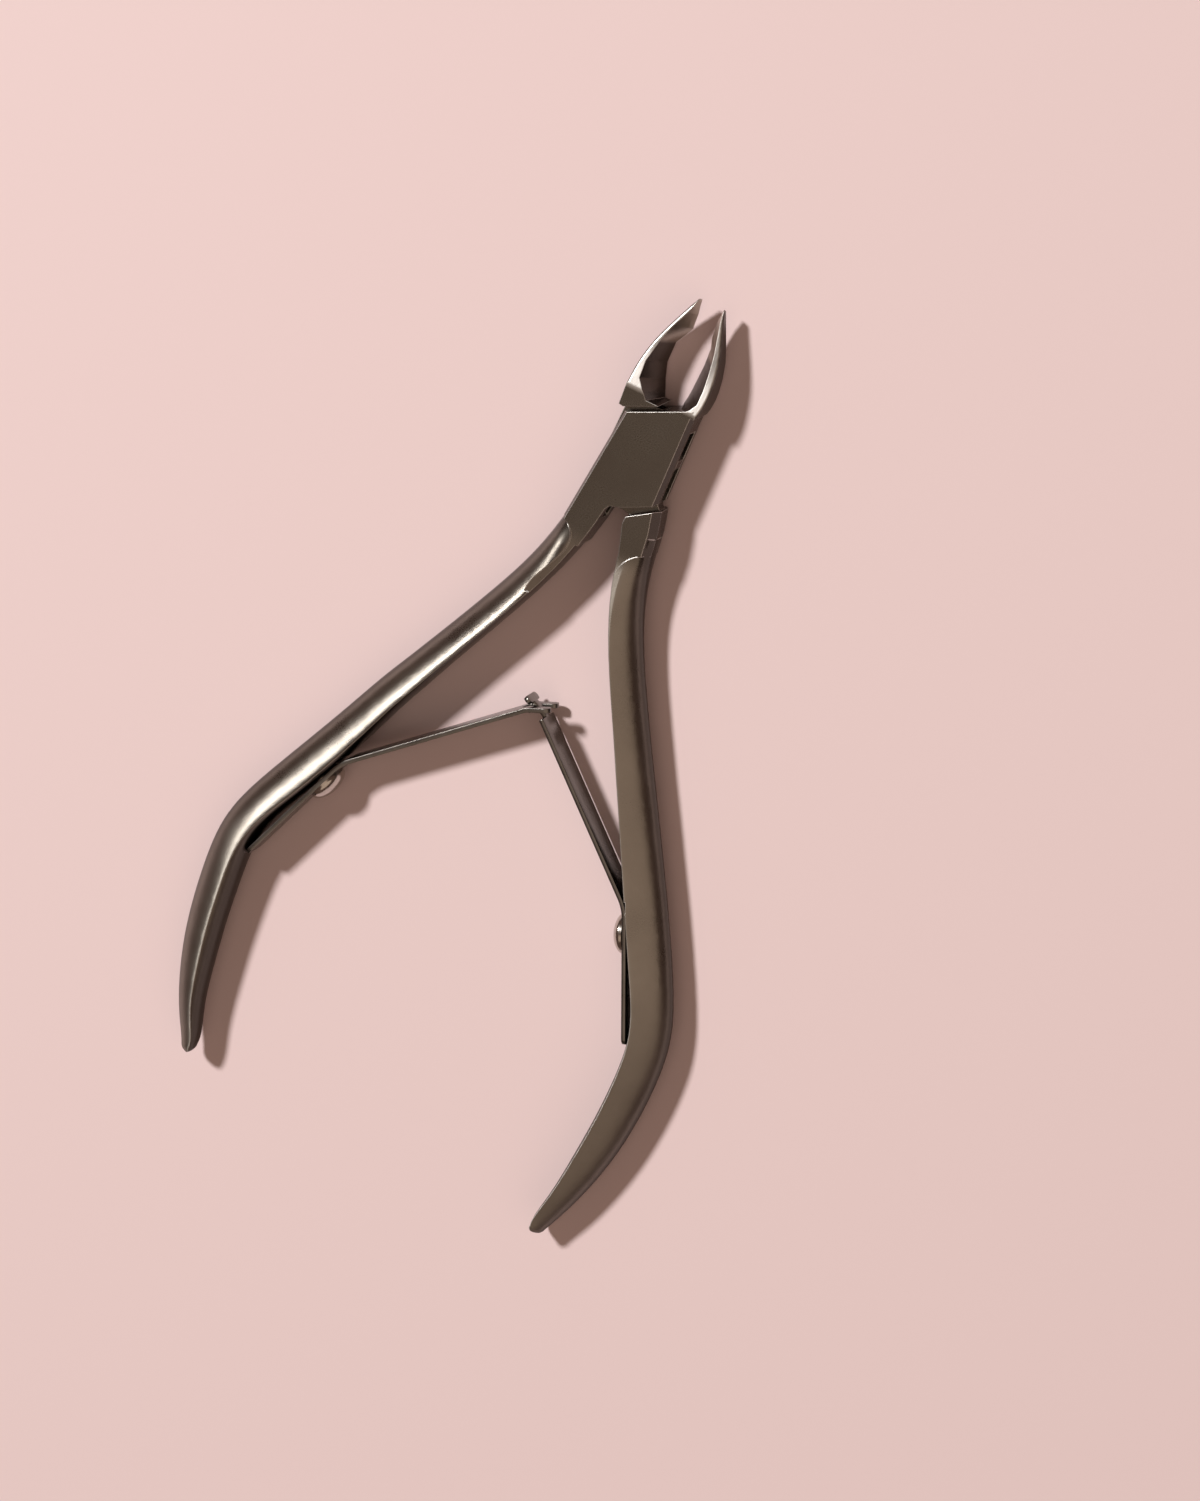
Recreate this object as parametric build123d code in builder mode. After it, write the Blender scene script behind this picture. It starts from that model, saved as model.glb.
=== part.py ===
from build123d import *
import math
import os

# Cuticle nipper: two crossed levers on a box joint, opened by two interlocking leaf springs.
# It lies on its back with its front face up: +Z is up, +Y runs along its axis to the jaws and
# +X is the side of the male lever's handle. The origin is on the surface that it lies on, under
# the middle of its length. Points of the outline are given as (distance from the axis, distance
# along it from the handle tips).

# ---- driving dimensions, in millimetres -------------------------------------------------
pivot_along = 86.5           # centre of the box joint, from the handle tips
box_half = 2.6               # half the thickness of the box joint
tenon_half = 1.0             # half the thickness of the male lever inside the slot
slot_half = 1.08             # half the width of the slot that the tenon turns in
pin_radius = 1.5
pin_clearance = 0.03         # radial running clearance of the pin in the tenon
pin_front = 1.9              # front end of the pin, covered by the front plate
tenon_radius = 6.0           # round part of the tenon about the pin
slot_radius = 6.15
plate_bevel = (0.38, 0.85)   # bevel along the sides of the plates: across the front, down the side
shoulder_bevel = (0.75, 1.3)  # the same on the outer side of the male lever's block
nipper_length = 105.0
mid_height = 2.91            # middle plane of the nipper above the surface that it lies on

jaw_root = 93.3              # where the jaws grow out of the box joint, along the axis
jaw_taper = 93.8             # where the jaws start to get thinner
tip_front = 0.35             # front and back of the jaw tips, from the middle plane
tip_back = -0.55

leaf_thickness = 0.5
leaf_half_width = 2.05
foot_low = (24.35, 25.6)     # outer face of the spring foot, lower end
foot_lean = 22.9             # lean of the foot from the axis, in degrees
screw_up = 12.4              # screw centre, measured up the foot from its lower end
flex_up = 15.7               # flexure of the leaf, measured up the foot from its lower end
flex_gap = 0.27              # foot end to flexure axis
arm_knee = (0.9, 55.4)       # where the leaf ends at its full width
arm_tip = (-1.65, 56.55)     # end of the narrow tongue, past the axis

screw_head_radius = 2.3
screw_head_height = 1.35
screw_shank_radius = 1.0
screw_depth = 2.4

# Stations of one lever, from its tip: distance along the axis, distance from the axis, extra
# distance on the female lever, lean in degrees, width and thickness of the section, its crown
# (1 on the handle, less where it runs into the flats of the joint) and the depth of the swell of
# the inner side of the female lever.
lever_stations = [
    (0.1, 23.0, -0.9, 18.0, 1.45, 2.7, 1.0, 0.3),
    (4.0, 24.1, -0.68, 17.5, 2.55, 3.9, 1.0, 0.6),
    (7.5, 25.0, -0.52, 13.5, 3.25, 4.6, 1.0, 0.85),
    (11.5, 25.8, -0.45, 9.0, 3.9, 5.1, 1.0, 1.0),
    (16.5, 26.45, -0.4, 4.5, 4.3, 5.5, 1.0, 1.1),
    (21.5, 26.7, -0.3, -1.5, 4.45, 5.7, 1.0, 1.1),
    (26.0, 26.48, -0.1, -10.0, 4.45, 5.8, 1.0, 1.0),
    (30.0, 25.45, 0.0, -19.0, 4.4, 5.8, 1.0, 0.8),
    (36.0, 22.62, 0.0, -26.0, 4.45, 5.8, 1.0, 0.6),
    (42.0, 19.5, 0.15, -27.8, 4.3, 5.8, 1.0, 0.5),
    (50.0, 15.25, 0.7, -28.3, 3.9, 5.75, 1.0, 0.45),
    (58.0, 10.98, 0.95, -28.0, 3.5, 5.7, 1.0, 0.4),
    (65.0, 7.35, 1.1, -25.5, 3.35, 5.7, 1.0, 0.35),
    (70.0, 5.2, 1.0, -19.5, 3.3, 5.7, 0.9, 0.25),
    (75.0, 3.85, 0.65, -10.5, 3.4, 5.7, 0.6, 0.15),
    (79.0, 3.3, 0.3, -6.0, 3.4, 5.5, 0.3, 0.1),
]
male_swell = 0.4             # the male lever's share of that swell
station_count = 21           # sections of the loft, evenly spaced along the axis
nose_radius = 0.65           # rounding of the handle's tip

# Outer edge of each jaw, root to tip.
female_jaw_outer = [(3.85, 93.3), (4.1, 94.2), (4.25, 95.6), (4.2, 97.0), (3.82, 99.4),
                    (3.18, 101.4), (2.38, 103.5), (1.8, 105.0)]
male_jaw_outer = [(4.6, 93.3), (4.6, 94.2), (4.54, 95.6), (4.35, 97.0), (3.76, 99.4),
                  (3.0, 101.4), (2.1, 103.5), (1.38, 105.0)]

# Inner face of each jaw: distance along the axis, then distance from it at the back face and at
# the front face of the blank.
female_jaw_inner = [
    (93.2, 1.0, 2.0),
    (94.1, 1.15, 3.0),
    (94.9, 1.2, 3.55),
    (96.4, 1.22, 3.68),
    (98.3, 1.25, 3.62),
    (100.3, 1.1, 3.45),
    (101.5, 0.6, 3.35),
    (103.6, 0.5, 2.85),
    (105.2, 1.0, 2.25),
]
male_jaw_inner = [
    (93.0, 1.1, 1.9),
    (93.7, 1.4, 2.55),
    (94.9, 1.75, 3.65),
    (96.8, 2.1, 3.95),
    (99.3, 1.8, 3.62),
    (101.5, -0.1, 3.7),
    (103.3, 0.05, 2.75),
    (105.2, 0.75, 1.7),
]

# Middle plane of the nipper, with its local origin between the handle tips.
mid = Plane(origin=(0, -nipper_length / 2, mid_height))
side_view = Plane(origin=mid.origin, x_dir=(0, 1, 0), z_dir=(1, 0, 0))
# Plane across the axis just below the interlocking ends of the leaves, seen from the tips.
below_ends = Plane(origin=mid.from_local_coords(Vector(0, 53.0, 0)), x_dir=(1, 0, 0), z_dir=(0, 1, 0))

os.makedirs("parts", exist_ok=True)


# ---- helpers ----------------------------------------------------------------------------
def place(distance, along):
    """Point on the middle plane, in the frame of the nipper."""
    return mid.from_local_coords(Vector(distance, along, 0))


def lever_plane(along, distance, lean):
    """Plane across a lever whose x axis points outward, away from the axis of the nipper."""
    angle = math.radians(lean)
    outward = (math.cos(angle), -math.sin(angle), 0)
    upward = (math.sin(angle), math.cos(angle), 0)
    return Plane(origin=place(distance, along), x_dir=outward, z_dir=upward)


def station_at(along):
    """Row of the lever table at any place along the axis, on a smooth curve through its rows."""
    index = max(i for i in range(len(lever_stations) - 1) if lever_stations[i][0] <= along)
    start = lever_stations[index]
    end = lever_stations[index + 1]
    before = lever_stations[max(index - 1, 0)]
    after = lever_stations[min(index + 2, len(lever_stations) - 1)]
    span = end[0] - start[0]
    t = (along - start[0]) / span
    row = []
    for a, b, c, d in zip(before, start, end, after):
        leaving = span * (c - a) / (end[0] - before[0])
        arriving = span * (d - b) / (after[0] - start[0])
        blend = 3 * t ** 2 - 2 * t ** 3
        row.append(b + (c - b) * blend + leaving * t * (1 - t) ** 2 - arriving * t ** 2 * (1 - t))
    return row


def lever_section(width, thickness, crown, swell):
    """D-shaped section: inner side slightly swollen, outward a flat front with a soft edge or a
    crown."""
    inner = -width / 2
    outer = width / 2
    half = thickness / 2
    ridge = inner + swell
    crown_start = ridge + 0.02 * width + (1 - crown) * 0.6 * (outer - ridge)
    front_pull = outer - (0.08 + 0.8 * crown) * (outer - crown_start)
    outer_pull = (0.84 - 0.24 * crown) * half
    with BuildSketch() as section:
        with BuildLine():
            Bezier((inner, 0), (inner, 0.6 * half), (inner + 0.55 * swell, 0.9 * half),
                   (ridge, half))
            Line((ridge, half), (crown_start, half))
            Bezier((crown_start, half), (front_pull, half), (outer, outer_pull), (outer, 0))
            mirror(about=Plane.XZ)
        make_face()
    return section.sketch


def lever_handle(outset_share, swell_share):
    """Right-hand handle, lofted from its rounded tip to the root of the box joint."""
    tip = lever_stations[0][0]
    root = lever_stations[-1][0]
    step = (root - tip - nose_radius) / (station_count - 1)
    with BuildPart() as handle:
        for number in range(station_count):
            along = min(tip + nose_radius + step * number, root)
            _, distance, outset, lean, width, thickness, crown, swell = station_at(along)
            with BuildSketch(lever_plane(along, distance + outset_share * outset, lean)):
                add(lever_section(width, thickness, crown, swell_share * swell))
        loft()
        for share in (1.0, 0.75, 0.5, 0.25, 0.06):
            inset = 2 * nose_radius * (1 - math.sqrt(1 - (1 - share) ** 2))
            along = tip + nose_radius * share
            _, distance, outset, lean, width, thickness, crown, swell = station_at(along)
            with BuildSketch(lever_plane(along, distance + outset_share * outset, lean)):
                add(lever_section(width - inset, thickness - inset, crown,
                                  (0.6 + 0.4 * share) * swell_share * swell))
        loft()
    return handle.part


def joint_block(corners, bevelled, bevel):
    """Block of the box joint. Its edges near the bevelled points are bevelled front and back."""
    with BuildPart() as block:
        with BuildSketch(mid):
            with BuildLine():
                Polyline(*corners, close=True)
            make_face()
        extrude(amount=box_half, both=True)
        for face in (block.faces().sort_by(Axis.Z)[-1], block.faces().sort_by(Axis.Z)[0]):
            level = Vector(0, 0, face.center().Z - mid_height)
            near = [e for e in face.edges() for point in bevelled
                    if (e.center() - place(*point) - level).length < 0.1]
            chamfer(near, length=bevel[0], length2=bevel[1], reference=face)
    return block.part


def jaw_hollow(inner_face):
    """What is ground away inside a right-hand jaw: slanted hollow, then the facet of the edge."""
    with BuildPart() as hollow:
        for end in (-1, 1):
            with BuildSketch(mid.offset(end * (box_half + 0.05))):
                with BuildLine():
                    inner = [(front if end > 0 else back, along)
                             for along, back, front in inner_face]
                    Polyline(*inner, (-4, inner[-1][1]), (-4, inner[0][1]), close=True)
                make_face()
        loft(ruled=True)
    return hollow.part


def jaw_blank(outer_edge, inner_face):
    """Right-hand jaw: tapered front and back, slanted hollow-ground inner face, sharp edge."""
    with BuildPart() as jaw:
        with BuildSketch(mid):
            with BuildLine():
                Spline(*outer_edge)
                Polyline(outer_edge[-1], (0.2, nipper_length), (0.2, jaw_root),
                         outer_edge[0])
            make_face()
        extrude(amount=box_half, both=True)
        for side, tip in ((1, tip_front), (-1, tip_back)):
            with BuildSketch(side_view):
                with BuildLine():
                    Polyline((jaw_taper, side * box_half), (nipper_length, tip), (110, tip),
                             (110, side * 6), (jaw_taper, side * 6), close=True)
                make_face()
            extrude(amount=8, mode=Mode.SUBTRACT)
        rims = [e for e in jaw.edges() if e.center().X > 2.0 and e.length > 8
                and e.center().Y > jaw_taper - nipper_length / 2]
        fillet(rims, radius=0.26)
        add(jaw_hollow(inner_face), mode=Mode.SUBTRACT)
    return jaw.part


def foot_plane(side):
    """Plane on the outer face of a spring foot, x up the foot, z toward the nipper's axis."""
    lean = math.radians(foot_lean)
    up = (-side * math.sin(lean), math.cos(lean), 0)
    toward_axis = (-side * math.cos(lean), -math.sin(lean), 0)
    return Plane(origin=place(side * foot_low[0], foot_low[1]), x_dir=up, z_dir=toward_axis)


def leaf_foot(side):
    """Flat part of a leaf spring that the screw clamps to the lever."""
    with BuildPart() as foot:
        with BuildSketch(foot_plane(side)):
            with Locations(((flex_up - flex_gap) / 2, 0)):
                Rectangle(flex_up - flex_gap, 2 * leaf_half_width)
            with Locations((screw_up, 0)):
                Circle(screw_shank_radius, mode=Mode.SUBTRACT)
        extrude(amount=leaf_thickness)
        short_edges = [e for e in foot.edges().filter_by(GeomType.LINE).sort_by(Axis.Y)
                       if abs(e.length - leaf_thickness) < 0.01]
        fillet(short_edges[:2], radius=0.8)
    return foot.part


def leaf_arm(side):
    """Free part of a leaf spring, from its flexure to the middle, still without its end cut."""
    flexure = mid.to_local_coords(
        foot_plane(side).from_local_coords(Vector(flex_up, 0, leaf_thickness / 2)))
    knee = (side * arm_knee[0], arm_knee[1])
    tip = (side * arm_tip[0], arm_tip[1])
    with BuildPart() as arm:
        with BuildSketch(mid):
            with BuildLine():
                FilletPolyline((flexure.X, flexure.Y), knee, tip, radius=1.6)
            trace(line_width=leaf_thickness)
            with Locations((flexure.X, flexure.Y), tip):
                Circle(leaf_thickness / 2)
        extrude(amount=leaf_half_width, both=True)
    return arm.part


def spring_screw(side):
    """Domed screw that holds a spring foot on its lever, turned about its own axis."""
    seat = foot_plane(side)
    centre = seat.from_local_coords(Vector(screw_up, 0, 0))
    profile_plane = Plane(origin=centre, x_dir=seat.x_dir, z_dir=seat.y_dir.reverse())
    with BuildPart() as screw:
        with BuildSketch(profile_plane):
            with BuildLine():
                rim = leaf_thickness + 0.28
                top = leaf_thickness + screw_head_height
                Polyline((0, top), (0, -screw_depth), (screw_shank_radius, -screw_depth),
                         (screw_shank_radius, leaf_thickness),
                         (screw_head_radius, leaf_thickness), (screw_head_radius, rim))
                Bezier((screw_head_radius, rim), (screw_head_radius, rim + 0.42),
                       (0.62 * screw_head_radius, top), (0, top))
            make_face()
        revolve(axis=Axis(centre, seat.z_dir))
    return screw.part


def about_pivot(radius, distance, side=1):
    """Point at a given distance from the axis on a circle about the pin, above or below it."""
    return (distance, pivot_along + side * math.sqrt(radius ** 2 - distance ** 2))


def spring_seat(side):
    """What is milled out of a handle: the seat of the spring foot and its screw hole."""
    seat = foot_plane(side)
    relief = Plane(origin=seat.origin - seat.z_dir * 0.14, x_dir=seat.x_dir, z_dir=seat.z_dir)
    with BuildPart() as cut:
        for start, end, plane in ((-0.2, 3.0, seat), (8.5, flex_up, seat),
                                  (flex_up - 0.4, flex_up + 0.9, relief)):
            with BuildSketch(plane):
                with Locations((start, 0)):
                    Rectangle(end - start, 8.0, align=(Align.MIN, Align.CENTER))
            extrude(amount=2.0)
        with BuildSketch(seat):
            with Locations((screw_up, 0)):
                Circle(screw_shank_radius)
        extrude(amount=-screw_depth)
    return cut.part


def shoulder_flats(arc_points, side):
    """Material above the flats of the box joint, ending in a round shoulder on the handle."""
    bottom = arc_points[-1][1]
    with BuildPart() as cut:
        for face in (1, -1):
            with BuildSketch(mid.offset(face * box_half)):
                with BuildLine():
                    Spline(*arc_points)
                    Polyline(arc_points[-1], (-side * 4, bottom), (-side * 4, 96.0),
                             (side * 9, 96.0), (side * 9, arc_points[0][1]), arc_points[0])
                make_face()
            extrude(amount=face * 2.0)
    return cut.part


# ---- female lever: left handle, front and back plates, right jaw ------------------------
with BuildPart() as female_lever:
    add(mirror(lever_handle(1, 1), about=Plane.YZ, mode=Mode.PRIVATE))
    add(shoulder_flats([(-5.9, 77.15), (-4.65, 76.9), (-3.85, 76.1), (-3.56, 75.0), (-3.72, 73.9),
                        (-4.3, 72.6), (-5.3, 70.6), (-5.95, 69.1), (-6.1, 67.9)], -1),
        mode=Mode.SUBTRACT)
    add(joint_block([(-5.5, 77.35), (-3.72, 90.75), (-3.2, 91.0), (2.4, 93.68), (3.4, 94.1),
                     (3.8, 94.2), (3.74, 92.6), (3.7, 83.1), (3.35, 82.65), (0.35, 81.12),
                     (-1.05, 80.65), (-1.4, 80.1), (-1.8, 78.0), (-2.55, 75.0), (-3.56, 75.0),
                     (-3.85, 76.1), (-4.65, 76.9)],
                    [(-4.61, 84.05), (3.72, 87.85)], plate_bevel))
    with BuildSketch(mid):
        with BuildLine():
            ThreePointArc(about_pivot(slot_radius, 4.4), about_pivot(slot_radius, 2.2),
                          about_pivot(slot_radius, -0.2))
            Polyline(about_pivot(slot_radius, -0.2), (-0.2, 95.0), (-8.0, 95.0), (-8.0, 84.5),
                     (0.9, 76.15), (8.0, 76.15), (8.0, 90.0), about_pivot(slot_radius, 4.4))
        make_face()
    extrude(amount=slot_half, both=True, mode=Mode.SUBTRACT)
    add(jaw_blank(female_jaw_outer, female_jaw_inner))
    with BuildSketch(mid.offset(-box_half)):
        with Locations((0, pivot_along)):
            Circle(pin_radius)
    extrude(amount=box_half + pin_front, mode=Mode.SUBTRACT)
    add(spring_seat(-1), mode=Mode.SUBTRACT)
female_lever.part.label = "female_lever"

# ---- male lever: right handle, tenon through the slot, left jaw -------------------------
with BuildPart() as male_lever:
    add(lever_handle(0, male_swell))
    add(shoulder_flats([(5.9, 77.3), (4.6, 77.15), (3.65, 76.6), (2.95, 75.8), (2.5, 74.7),
                        (2.3, 73.6), (2.1, 72.4)], 1), mode=Mode.SUBTRACT)
    add(joint_block([(5.12, 77.2), (4.85, 79.8), (4.3, 82.3), (3.75, 82.15), (1.05, 80.35),
                     (1.0, 79.5), (1.75, 77.0), (2.45, 74.9), (2.95, 75.8), (3.65, 76.6),
                     (4.6, 77.15)],
                    [(4.985, 78.5), (4.575, 81.05)], shoulder_bevel))
    with BuildSketch(mid):
        with BuildLine():
            Polyline((-4.6, 94.0), (-4.5, 91.4), (-3.95, 91.32), (-0.35, 92.98), (-0.9, 93.6),
                     (-2.0, 94.0), close=True)
        make_face()
    extrude(amount=box_half, both=True)
    with BuildSketch(mid):
        with BuildLine():
            Polyline(about_pivot(tenon_radius, 0.4, -1), (1.05, 80.3), (4.3, 81.9),
                     (3.6, 82.6), (3.25, 83.3), (3.3, 86.3), (3.72, 87.1), (3.72, 88.0),
                     (2.9, 88.6), about_pivot(tenon_radius, 2.9))
            ThreePointArc(about_pivot(tenon_radius, 2.9), about_pivot(tenon_radius, 1.0),
                          about_pivot(tenon_radius, -1.35))
            Polyline(about_pivot(tenon_radius, -1.35), (-1.35, 93.7), (-4.55, 93.7),
                     (-4.5, 91.4), (-4.1, 91.0), (-4.35, 86.0),
                     about_pivot(tenon_radius, -4.35, -1))
            ThreePointArc(about_pivot(tenon_radius, -4.35, -1),
                          about_pivot(tenon_radius, -2.2, -1),
                          about_pivot(tenon_radius, 0.4, -1))
        make_face()
    extrude(amount=tenon_half, both=True)
    add(mirror(jaw_blank(male_jaw_outer, male_jaw_inner), about=Plane.YZ, mode=Mode.PRIVATE))
    add(mirror(jaw_hollow(male_jaw_inner), about=Plane.YZ, mode=Mode.PRIVATE),
        mode=Mode.SUBTRACT)
    with BuildSketch(mid):
        with Locations((0, pivot_along)):
            Circle(pin_radius + pin_clearance)
    extrude(amount=box_half, both=True, mode=Mode.SUBTRACT)
    add(spring_seat(1), mode=Mode.SUBTRACT)
male_lever.part.label = "male_lever"

# ---- pin of the box joint, riveted flush in the back plate ------------------------------
with BuildPart() as pivot_pin:
    with BuildSketch(mid.offset(-box_half)):
        with Locations((0, pivot_along)):
            Circle(pin_radius)
    extrude(amount=box_half + pin_front)
pivot_pin.part.label = "pivot_pin"

# ---- leaf springs: each is one strip, split at its flexure into a foot and an arm -------
left_spring_foot = leaf_foot(-1)
left_spring_foot.label = "left_spring_foot"
right_spring_foot = leaf_foot(1)
right_spring_foot.label = "right_spring_foot"

# The left leaf ends in a fork of two tines.
with BuildPart() as left_spring_arm:
    add(leaf_arm(-1))
    with BuildSketch(below_ends):
        with Locations((-1.75, 0)):
            SlotOverall(14.0, 1.6, align=(Align.MIN, Align.CENTER))
    extrude(amount=6, mode=Mode.SUBTRACT)
left_spring_arm.part.label = "left_spring_arm"

# The right leaf ends in a narrow neck with a T-shaped head that hooks over the fork.
with BuildPart() as right_spring_arm:
    add(leaf_arm(1))
    with BuildSketch(below_ends):
        Rectangle(12.0, 5.0)
        with BuildLine():
            Polyline((0.95, -3.0), (0.95, -0.58), (-1.0, -0.58), (-1.0, -1.4), (-1.75, -1.4),
                     (-2.2, -1.0), (-2.2, 1.0), (-1.75, 1.4), (-1.0, 1.4), (-1.0, 0.58),
                     (0.95, 0.58), (0.95, 3.0), (7.0, 3.0), (7.0, -3.0), close=True)
        make_face(mode=Mode.SUBTRACT)
    extrude(amount=6, mode=Mode.SUBTRACT)
right_spring_arm.part.label = "right_spring_arm"

left_spring_screw = spring_screw(-1)
left_spring_screw.label = "left_spring_screw"
right_spring_screw = spring_screw(1)
right_spring_screw.label = "right_spring_screw"

# ---- one STEP file for each piece -------------------------------------------------------
export_step(female_lever.part, "parts/female_lever.step")
export_step(male_lever.part, "parts/male_lever.step")
export_step(pivot_pin.part, "parts/pivot_pin.step")
export_step(left_spring_foot, "parts/left_spring_foot.step")
export_step(left_spring_arm.part, "parts/left_spring_arm.step")
export_step(left_spring_screw, "parts/left_spring_screw.step")
export_step(right_spring_foot, "parts/right_spring_foot.step")
export_step(right_spring_arm.part, "parts/right_spring_arm.step")
export_step(right_spring_screw, "parts/right_spring_screw.step")
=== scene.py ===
import math

import bmesh
import bpy
from mathutils import Matrix, Vector


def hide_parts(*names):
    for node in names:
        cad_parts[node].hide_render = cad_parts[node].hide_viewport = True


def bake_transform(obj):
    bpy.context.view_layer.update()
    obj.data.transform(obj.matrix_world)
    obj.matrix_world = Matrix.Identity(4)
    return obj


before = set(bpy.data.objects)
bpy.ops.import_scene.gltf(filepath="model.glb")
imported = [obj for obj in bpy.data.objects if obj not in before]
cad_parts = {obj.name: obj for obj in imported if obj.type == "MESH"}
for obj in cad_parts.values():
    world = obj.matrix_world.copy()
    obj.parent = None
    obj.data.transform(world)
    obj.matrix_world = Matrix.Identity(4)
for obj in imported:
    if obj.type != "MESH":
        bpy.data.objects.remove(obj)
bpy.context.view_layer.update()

MM = 0.001
HALF_LENGTH = 52.5          # the origin is under the middle of the nipper's length
MID_HEIGHT = 2.91           # its middle plane, above the surface that it lies on


def at(distance, along, depth=0.0):
    """Point given in millimetres from the axis, from the handle tips and out of the middle plane."""
    return Vector((distance * MM, (along - HALF_LENGTH) * MM, (MID_HEIGHT + depth) * MM))


# ---- materials --------------------------------------------------------------------------
MIX_COLOR_A, MIX_COLOR_B, MIX_COLOR_RESULT = 6, 7, 2    # the colour sockets of a Mix node
BEVEL_SAMPLES = 6
EDGE_STARTS, EDGE_FULL = 0.995, 0.90    # cosine between the real and the rounded normal


class Shader:
    """Builds one node material. color and roughness hold where no node is linked to them."""

    def __init__(self, name, color, roughness, metallic=1.0):
        self.material = bpy.data.materials.new(name)
        self.material.use_nodes = True
        self.tree = self.material.node_tree
        self.bsdf = self.tree.nodes["Principled BSDF"]
        self.set(self.bsdf, "Base Color", (*color, 1.0))
        self.set(self.bsdf, "Roughness", roughness)
        self.set(self.bsdf, "Metallic", metallic)

    @staticmethod
    def set(node, socket, value):
        node.inputs[socket].default_value = value

    def node(self, kind, links=None):
        """A new node, with each input named in links fed by the output given for it."""
        made = self.tree.nodes.new(kind)
        for socket, source in (links or {}).items():
            self.tree.links.new(source, made.inputs[socket])
        return made

    def link(self, source, socket):
        """Feeds a socket of the principled shader."""
        self.tree.links.new(source, self.bsdf.inputs[socket])

    def object_point(self):
        return self.node("ShaderNodeTexCoord").outputs["Object"]

    def noise(self, scale, detail, rough, stretch=(1.0, 1.0, 1.0)):
        """Noise in 0 to 1 on the object's own coordinates, its grains about 1 / scale metres wide."""
        mapping = self.node("ShaderNodeMapping", {"Vector": self.object_point()})
        mapping.inputs["Scale"].default_value = stretch
        texture = self.node("ShaderNodeTexNoise", {"Vector": mapping.outputs["Vector"]})
        self.set(texture, "Scale", scale)
        self.set(texture, "Detail", detail)
        self.set(texture, "Roughness", rough)
        return texture.outputs["Fac"]

    def remap(self, value, low, high, to_low, to_high, smooth=False):
        made = self.node("ShaderNodeMapRange", {"Value": value})
        made.interpolation_type = "SMOOTHSTEP" if smooth else "LINEAR"
        ends = (("From Min", low), ("From Max", high), ("To Min", to_low), ("To Max", to_high))
        for socket, number in ends:
            self.set(made, socket, number)
        return made.outputs["Result"]

    def blotch(self, noise, to_low, to_high):
        """Noise stretched to the range given."""
        return self.remap(noise, 0.3, 0.7, to_low, to_high)

    def math(self, operation, a, b=None):
        made = self.tree.nodes.new("ShaderNodeMath")
        made.operation = operation
        for index, value in enumerate((a, b)):
            if value is None:
                continue
            if isinstance(value, (int, float)):
                made.inputs[index].default_value = value
            else:
                self.tree.links.new(value, made.inputs[index])
        return made.outputs[0]

    def times(self, a, b):
        return self.math("MULTIPLY", a, b)

    def plus(self, a, b):
        return self.math("ADD", a, b)

    def mix(self, factor, a, b):
        """Colour a where factor is 0, b where it is 1."""
        made = self.tree.nodes.new("ShaderNodeMix")
        made.data_type = "RGBA"
        self.tree.links.new(factor, made.inputs["Factor"])
        for socket, value in ((MIX_COLOR_A, a), (MIX_COLOR_B, b)):
            if isinstance(value, tuple):
                made.inputs[socket].default_value = (*value, 1.0)
            else:
                self.tree.links.new(value, made.inputs[socket])
        return made.outputs[MIX_COLOR_RESULT]

    def edges(self, radius):
        """Edge mask, 0 on faces and rising to 1 on sharp edges, and the normal rounded over them."""
        geometry = self.node("ShaderNodeNewGeometry")
        bevel = self.node("ShaderNodeBevel")
        bevel.samples = BEVEL_SAMPLES
        self.set(bevel, "Radius", radius)
        dot = self.tree.nodes.new("ShaderNodeVectorMath")
        dot.operation = "DOT_PRODUCT"
        self.tree.links.new(geometry.outputs["Normal"], dot.inputs[0])
        self.tree.links.new(bevel.outputs["Normal"], dot.inputs[1])
        mask = self.remap(dot.outputs["Value"], EDGE_STARTS, EDGE_FULL, 0.0, 1.0)
        return mask, bevel.outputs["Normal"]

    def bump(self, height, strength, distance, normal=None):
        made = self.node("ShaderNodeBump", {"Height": height})
        self.set(made, "Strength", strength)
        self.set(made, "Distance", distance)
        if normal is not None:
            self.tree.links.new(normal, made.inputs["Normal"])
        return made.outputs["Normal"]


BLASTED_DARK, BLASTED_LIGHT = (0.245, 0.226, 0.2), (0.295, 0.275, 0.243)
GROUND_PLATE = (0.125, 0.115, 0.1)
JAW_DARK, JAW_LIGHT = (0.2, 0.19, 0.175), (0.36, 0.345, 0.325)
# Painted shade for the levers' sides.
PAINTED_SIDE_SHADE = (0.06, 0.053, 0.045)
HOLLOW_SHADE = (0.1, 0.08, 0.065)
CUTTING_FACET = (0.5, 0.45, 0.385)
RUBBED_JAW = (0.66, 0.65, 0.63)
WORN_EDGE = (0.85, 0.83, 0.8)
EDGE_RADIUS = 0.13 * MM
BLAST_RELIEF = 0.018 * MM
BRUSH_ANISOTROPY = 0.86


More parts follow.
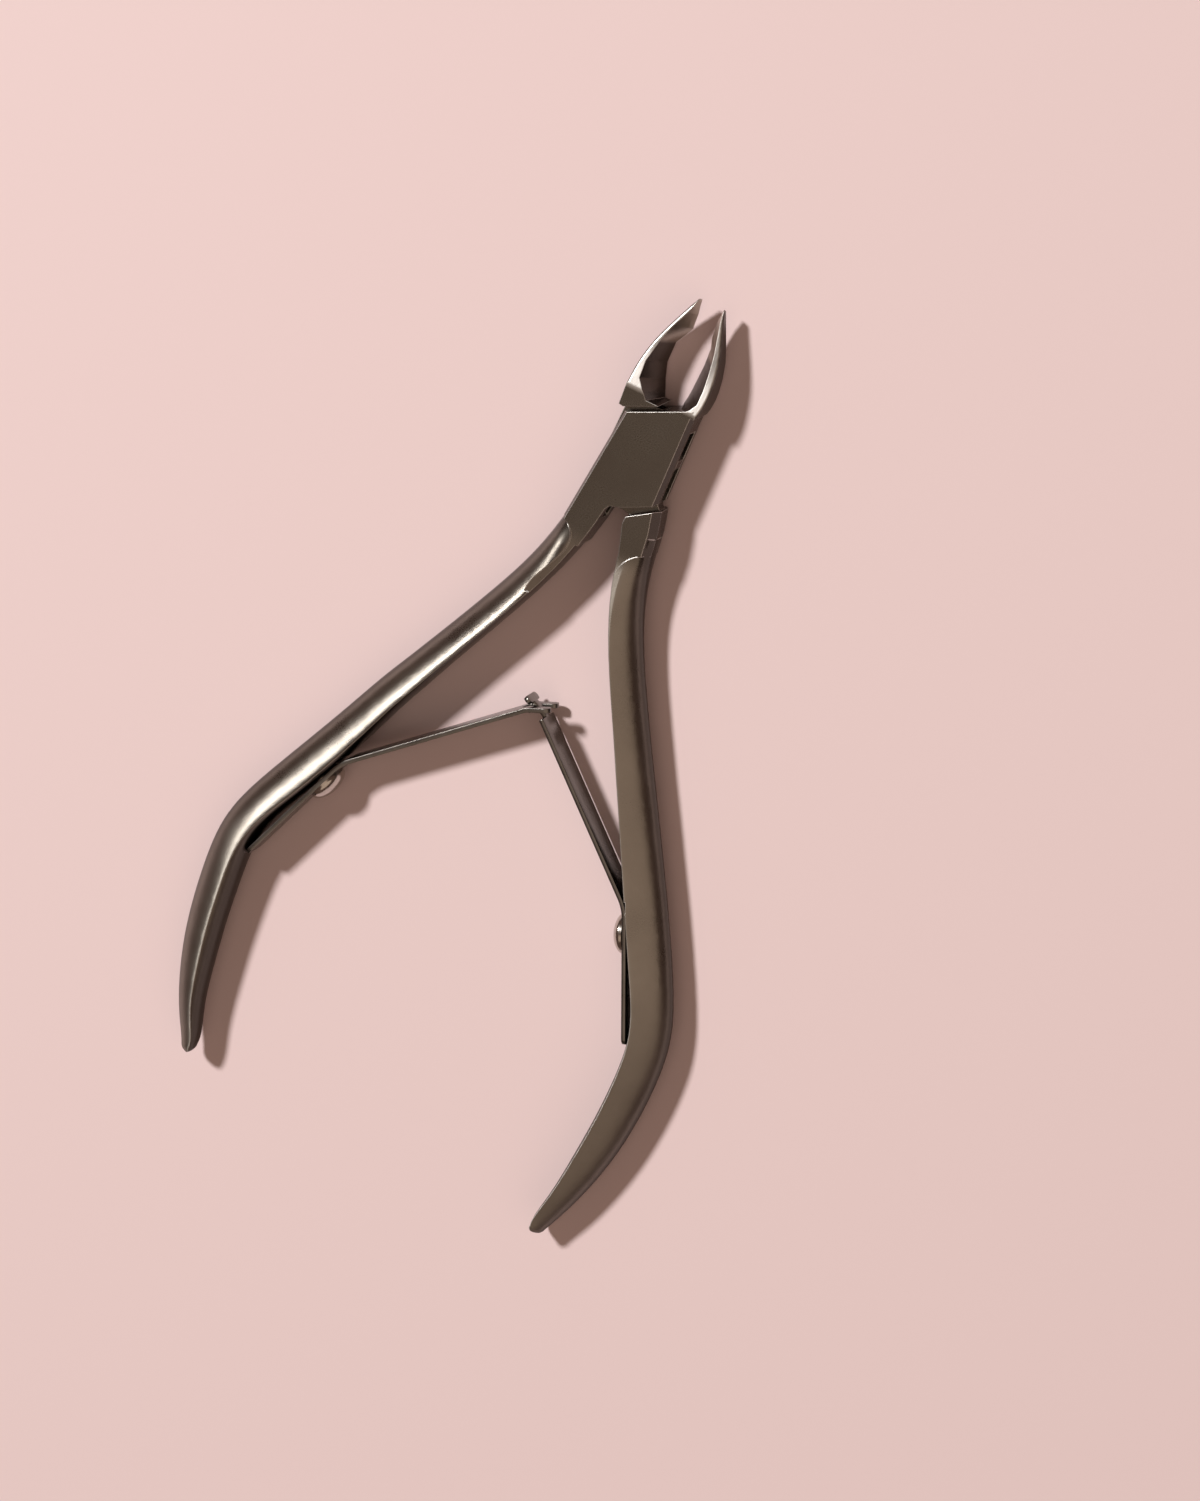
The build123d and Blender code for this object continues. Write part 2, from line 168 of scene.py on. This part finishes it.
def lever_metal():
    """Satin gunmetal: blasted handles, smoother ground plates and jaws, bright worn edges."""
    s = Shader("gunmetal_satin", (0.44, 0.415, 0.38), 0.4)
    grain = s.noise(8500.0, 2.0, 0.65)
    cloud = s.noise(170.0, 3.0, 0.55)
    streak = s.noise(3200.0, 3.0, 0.6, (1.0, 0.12, 1.0))
    wear, round_normal = s.edges(EDGE_RADIUS)
    position = s.node("ShaderNodeSeparateXYZ", {"Vector": s.object_point()})
    normal = s.node("ShaderNodeNewGeometry").outputs["Normal"]
    facing = s.node("ShaderNodeSeparateXYZ", {"Vector": normal})
    handle_side = s.math("SIGN", position.outputs["X"])

    def zone(first, last, to_first, to_last, smooth=True):
        """Goes from one value to the other between two places along the nipper, in millimetres."""
        return s.remap(position.outputs["Y"], at(0, first).y, at(0, last).y, to_first, to_last, smooth)

    # Masks along the nipper: the finger lobes, the ground box joint, the jaws and their ends.
    grip = zone(24.0, 36.0, 1.0, 0.0)
    ground = zone(74.2, 77.0, 0.0, 1.0)
    jaw = zone(93.4, 94.0, 0.0, 1.0, False)
    tip = zone(99.0, 99.7, 0.0, 1.0)

    # The sides get painted shade, darker than the rubbed front and back. In the jaws, the faces that
    # look at each other get painted shade, darkest in the hollow, and are bright on the ground cutting
    # facets.
    flatness = s.math("ABSOLUTE", facing.outputs["Z"])
    side = s.remap(flatness, 0.4, 0.82, 1.0, 0.0, True)
    inner = s.remap(s.times(facing.outputs["X"], handle_side), -0.2, -0.36, 0.0, 1.0, True)
    hollow = s.times(s.times(inner, jaw), s.math("SUBTRACT", 1.0, tip))
    facet = s.times(inner, tip)

    # The flat front and back of the jaws are rubbed bright near their roots.
    flat = s.remap(flatness, 0.86, 0.97, 0.0, 1.0, True)
    rubbed = s.times(flat, s.times(jaw, zone(96.0, 99.5, 1.0, 0.15)))

    base = s.mix(s.blotch(cloud, 0.0, 1.0), BLASTED_DARK, BLASTED_LIGHT)
    base = s.mix(s.times(ground, 0.9), base, GROUND_PLATE)
    bright = s.mix(s.remap(streak, 0.35, 0.65, 0.0, 1.0), JAW_DARK, JAW_LIGHT)
    worn = s.times(wear, s.remap(jaw, 0.0, 1.0, 0.85, 0.25))
    # Mixed over the base: the jaws' streaks, painted shade on the sides and in the hollow, the cutting
    # facets, the rubbed roots and the worn edges.
    for mask, color in ((s.times(jaw, 0.9), bright), (s.times(side, 0.9), PAINTED_SIDE_SHADE),
                        (s.times(hollow, 0.85), HOLLOW_SHADE), (s.times(facet, 0.95), CUTTING_FACET),
                        (s.times(rubbed, 0.8), RUBBED_JAW), (worn, WORN_EDGE)):
        base = s.mix(mask, base, color)
    s.link(base, "Base Color")

    rough = s.plus(s.blotch(cloud, 0.275, 0.315), s.remap(grain, 0.2, 0.8, -0.03, 0.03))
    for mask, added in ((grip, 0.13), (ground, -0.03), (jaw, 0.05), (wear, 0.18), (rubbed, 0.12)):
        rough = s.plus(rough, s.times(mask, added))
    s.link(rough, "Roughness")

    blasting = s.times(grain, s.remap(ground, 0.0, 1.0, 1.0, 0.3))
    height = s.plus(blasting, s.times(s.times(streak, jaw), 0.9))
    s.link(s.bump(height, 0.7, BLAST_RELIEF, round_normal), "Normal")

    # The handles are brushed across, so that their shine is drawn out along them.
    tangent = s.node("ShaderNodeCombineXYZ", {"X": s.times(zone(18.0, 33.0, 0.2, -0.5), handle_side)})
    s.set(tangent, "Y", 0.88)
    s.link(tangent.outputs["Vector"], "Tangent")
    s.link(s.remap(ground, 0.0, 1.0, BRUSH_ANISOTROPY, 0.0), "Anisotropic")
    return s.material


def spring_metal():
    """Finely brushed spring steel, brushed along the strip, with bright stamped edges."""
    s = Shader("spring_steel", (0.46, 0.43, 0.39), 0.3)
    fine = s.noise(9000.0, 2.0, 0.5)
    cloud = s.noise(260.0, 3.0, 0.55)
    wear, round_normal = s.edges(0.07 * MM)
    base = s.mix(s.blotch(cloud, 0.0, 1.0), (0.15, 0.143, 0.132), (0.21, 0.2, 0.185))
    base = s.mix(s.times(wear, 0.45), base, (0.78, 0.76, 0.72))
    s.link(base, "Base Color")
    s.link(s.plus(s.blotch(cloud, 0.26, 0.32), s.remap(fine, 0.2, 0.8, -0.02, 0.02)), "Roughness")
    s.link(s.bump(fine, 0.1, 0.006 * MM, round_normal), "Normal")
    return s.material


def screw_metal():
    """Polished dome with faint turning marks."""
    s = Shader("screw_steel", (0.5, 0.47, 0.43), 0.16)
    fine = s.noise(4000.0, 2.0, 0.5)
    s.link(s.mix(s.blotch(fine, 0.0, 1.0), (0.46, 0.43, 0.39), (0.56, 0.53, 0.49)), "Base Color")
    s.link(s.blotch(fine, 0.14, 0.21), "Roughness")
    s.link(s.bump(fine, 0.05, 0.01 * MM), "Normal")
    return s.material


LEVER = lever_metal()
SPRING = spring_metal()
SCREW = screw_metal()

for name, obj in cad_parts.items():
    obj.data.materials.clear()
    obj.data.materials.append(SCREW if "screw" in name else SPRING if "spring" in name else LEVER)


# ---- leaf springs -----------------------------------------------------------------------
# Millimetres in the plane of the nipper, distance from its axis first, for the right leaf.
LEAF_THICK = 0.5
FOOT_LEAN = math.radians(22.9)          # the handle's inner face, away from the axis downward
FOOT_LOW = (24.35, 25.6)                # the foot's lower end, on the handle
FLEX_UP = 15.7                          # from there up the foot to the flexure
KNEE = (0.9, 55.4)                      # where the arm turns into the hook
TIP = (-1.65, 56.55)
FLEX_RADIUS = 5.5
KNEE_RADIUS = 2.4
EDGE_ROUNDING = 0.07
WIDE = 2.05                             # half the strip's width
CORNER = 0.8                            # radius of the foot's corners
SLOT_LENGTH = 3.75                      # the fork's slot
TINE_MIDDLE, TINE_HALF = 1.42, 0.62     # a tine's distance from the middle, and half its width
NECK_LENGTH = 3.05                      # from the tongue's shoulders to the end of its head
NECK, HEAD, HEAD_ROUND = 0.58, 1.6, 0.5     # half widths, and half the head's height
SPARE_COLUMN = 0.3                      # half width of the fork's middle columns below the slot
HAIR = 0.001                            # keeps two columns apart where they would meet


def rounded_path(points, radii, step=0.08):
    """Straight runs joined by arcs: a list of (point, tangent) spaced about step apart."""
    points = [Vector(p) for p in points]
    out = []

    def run(a, b):
        length = (b - a).length
        count = max(1, round(length / step))
        direction = (b - a).normalized()
        for i in range(count):
            out.append((a.lerp(b, i / count), direction))

    start = points[0]
    for corner, following, radius in zip(points[1:-1], points[2:], radii):
        d0 = (corner - start).normalized()
        d1 = (following - corner).normalized()
        turn = math.atan2(d0.x * d1.y - d0.y * d1.x, d0.dot(d1))
        back = radius * math.tan(abs(turn) / 2)
        a = corner - d0 * back
        run(start, a)
        side = 1 if turn > 0 else -1
        centre = a + Vector((-d0.y, d0.x)) * radius * side
        count = max(3, round(radius * abs(turn) / step))
        for i in range(count):
            spin = Matrix.Rotation(turn * i / count, 2)
            out.append((centre + spin @ (a - centre), spin @ d0))
        start = corner + d1 * back
    run(start, points[-1])
    out.append((points[-1], (points[-1] - start).normalized()))
    return out


def leaf_path(side):
    """Middle line of a leaf spring, in the plane of the nipper, for the right side."""
    up = Vector((-math.sin(FOOT_LEAN), math.cos(FOOT_LEAN)))
    toward_axis = Vector((-math.cos(FOOT_LEAN), -math.sin(FOOT_LEAN)))
    low = Vector(FOOT_LOW) + toward_axis * LEAF_THICK / 2
    flexure = low + up * FLEX_UP
    path = rounded_path([low, flexure, KNEE, TIP], [FLEX_RADIUS, KNEE_RADIUS])
    return [(Vector((p.x * side, p.y)), Vector((t.x * side, t.y))) for p, t in path]


def build_leaf(name, side, columns):
    """A strip of sheet along the path. columns(s, total) gives the lines between its columns at
    length s, from one edge to the other, and for each column whether it is metal."""
    path = leaf_path(side)
    lengths = [0.0]
    for (p, _), (q, _) in zip(path, path[1:]):
        lengths.append(lengths[-1] + (q - p).length)
    total = lengths[-1]
    bm = bmesh.new()
    rows = []
    for (point, _), s in zip(path, lengths):
        widths, _metal = columns(s, total)
        rows.append([bm.verts.new(at(point.x, point.y, w)) for w in widths])
    for index in range(len(rows) - 1):
        _widths, metal = columns((lengths[index] + lengths[index + 1]) / 2, total)
        for column, solid in enumerate(metal):
            if solid:
                bm.faces.new((rows[index][column], rows[index][column + 1],
                              rows[index + 1][column + 1], rows[index + 1][column]))
    bmesh.ops.remove_doubles(bm, verts=bm.verts, dist=1e-6)
    bmesh.ops.delete(bm, geom=[v for v in bm.verts if not v.link_faces], context="VERTS")
    bmesh.ops.dissolve_degenerate(bm, edges=bm.edges, dist=1e-7)
    bmesh.ops.recalc_face_normals(bm, faces=bm.faces)
    mesh = bpy.data.meshes.new(name)
    bm.to_mesh(mesh)
    bm.free()
    obj = bpy.data.objects.new(name, mesh)
    bpy.context.scene.collection.objects.link(obj)
    solid = obj.modifiers.new("thickness", "SOLIDIFY")
    solid.thickness = LEAF_THICK * MM
    solid.offset = 0.0
    bevel = obj.modifiers.new("rounding", "BEVEL")
    bevel.width = EDGE_ROUNDING * MM
    bevel.segments = 2
    bevel.limit_method = "ANGLE"
    bevel.angle_limit = math.radians(40)
    bpy.context.view_layer.update()
    depsgraph = bpy.context.evaluated_depsgraph_get()
    final = bpy.data.meshes.new_from_object(obj.evaluated_get(depsgraph))
    obj.modifiers.clear()
    obj.data = final
    for polygon in final.polygons:
        polygon.use_smooth = True
    final.materials.clear()
    final.materials.append(SPRING)
    return obj


def round_end(half, left):
    """Half width of a round end of radius half, left short of its outermost point."""
    return math.sqrt(max(half ** 2 - (half - left) ** 2, 0.0))


def foot_half_width(s):
    """Half width near the lower end, whose corners are rounded."""
    if s >= CORNER:
        return WIDE
    return WIDE - CORNER + round_end(CORNER, s)


def fork_columns(s, total):
    """The left leaf ends in two tines with round ends, either side of a slot with a round bottom."""
    into_slot = s - (total - SLOT_LENGTH)
    left = total - s
    outer = foot_half_width(s)
    slot_half = inner = TINE_MIDDLE - TINE_HALF
    gap = 0.0
    if into_slot > 0:
        gap = round_end(slot_half, min(into_slot, slot_half))
    if left < TINE_HALF:
        half = round_end(TINE_HALF, left)
        outer, inner = TINE_MIDDLE + half, TINE_MIDDLE - half
    middle = min(gap, inner) if into_slot > 0 else SPARE_COLUMN
    beside_slot = gap < slot_half - HAIR and into_slot < slot_half
    return ([-outer, -inner, -middle, middle, inner, outer],
            [True, beside_slot, into_slot <= 0, beside_slot, True])


def tongue_columns(s, total):
    """The right leaf ends in a narrow neck with a T-shaped head."""
    left = total - s
    outer = foot_half_width(s)
    in_head = left < 2 * HEAD_ROUND
    if in_head:
        outer = HEAD - HEAD_ROUND + round_end(HEAD_ROUND, left)
    elif left < NECK_LENGTH:
        outer = NECK + HAIR
    wings = left > NECK_LENGTH or in_head
    return [-outer, -NECK, NECK, outer], [wings, True, wings]


def leaf(name, side, columns, foot_node, arm_node):
    """One leaf spring, built in place of its CAD foot and arm, which are hidden."""
    obj = build_leaf(name, side, columns)
    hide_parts(foot_node, arm_node)
    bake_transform(obj)
    return obj


leaf("left_leaf_spring", -1, fork_columns,
     "left_spring_foot", "left_spring_arm")
leaf("right_leaf_spring", 1, tongue_columns,
     "right_spring_foot", "right_spring_arm")


# ---- floor, light and camera ------------------------------------------------------------
FLOOR_HALF = 2.5
FLOOR_COLOR = (0.69, 0.56, 0.565)


def stage_floor():
    mesh = bpy.data.meshes.new("floor")
    corners = [(x * FLOOR_HALF, y * FLOOR_HALF, 0) for x, y in ((-1, -1), (1, -1), (1, 1), (-1, 1))]
    mesh.from_pydata(corners, [], [(0, 1, 2, 3)])
    floor = bpy.data.objects.new("floor", mesh)
    bpy.context.scene.collection.objects.link(floor)
    s = Shader("floor_pale", FLOOR_COLOR, 0.85, metallic=0.0)
    floor.data.materials.append(s.material)


def area_light(name, direction, distance, size, power, color):
    """A round light that shines on the nipper from the direction given."""
    light = bpy.data.lights.new(name, "AREA")
    light.shape = "DISK"
    light.size = size
    light.energy = power
    light.color = color
    obj = bpy.data.objects.new(name, light)
    bpy.context.scene.collection.objects.link(obj)
    toward = Vector(direction).normalized()
    obj.location = toward * distance
    obj.rotation_euler = toward.to_track_quat("Z", "Y").to_euler()


stage_floor()
area_light("key", (-0.60, 0.29, 0.74), 1.6, 0.2, 29.0, (1.0, 0.96, 0.93))
area_light("panel", (0.42, -0.15, 0.895), 1.5, 2.35, 7.8, (1.0, 0.79, 0.63))

world = bpy.data.worlds.new("studio")
bpy.context.scene.world = world
world.use_nodes = True
background = world.node_tree.nodes["Background"]
background.inputs["Color"].default_value = (1.0, 0.6, 0.46, 1.0)
background.inputs["Strength"].default_value = 0.12

# The camera looks steeply down on the nipper, from beyond its jaws, on the right handle's side.
CAMERA_LENS = 119.9
CAMERA_PLACE = (106.862, 220.06, 515.534)       # as at() takes it
camera_data = bpy.data.cameras.new("camera")
camera_data.lens = CAMERA_LENS
camera_data.sensor_width = 36.0
camera_data.sensor_fit = "AUTO"
camera = bpy.data.objects.new("camera", camera_data)
bpy.context.scene.collection.objects.link(camera)
right = Vector((0.87997202, 0.37664823, -0.28945701))
upward = Vector((-0.43988064, 0.876131, -0.19722954))
backward = Vector((0.1793161, 0.30088301, 0.93665103))
rotation = Matrix((right, upward, backward)).transposed().to_4x4()
camera.matrix_world = Matrix.Translation(at(*CAMERA_PLACE)) @ rotation
bpy.context.scene.camera = camera
bpy.context.scene.view_settings.view_transform = "Standard"
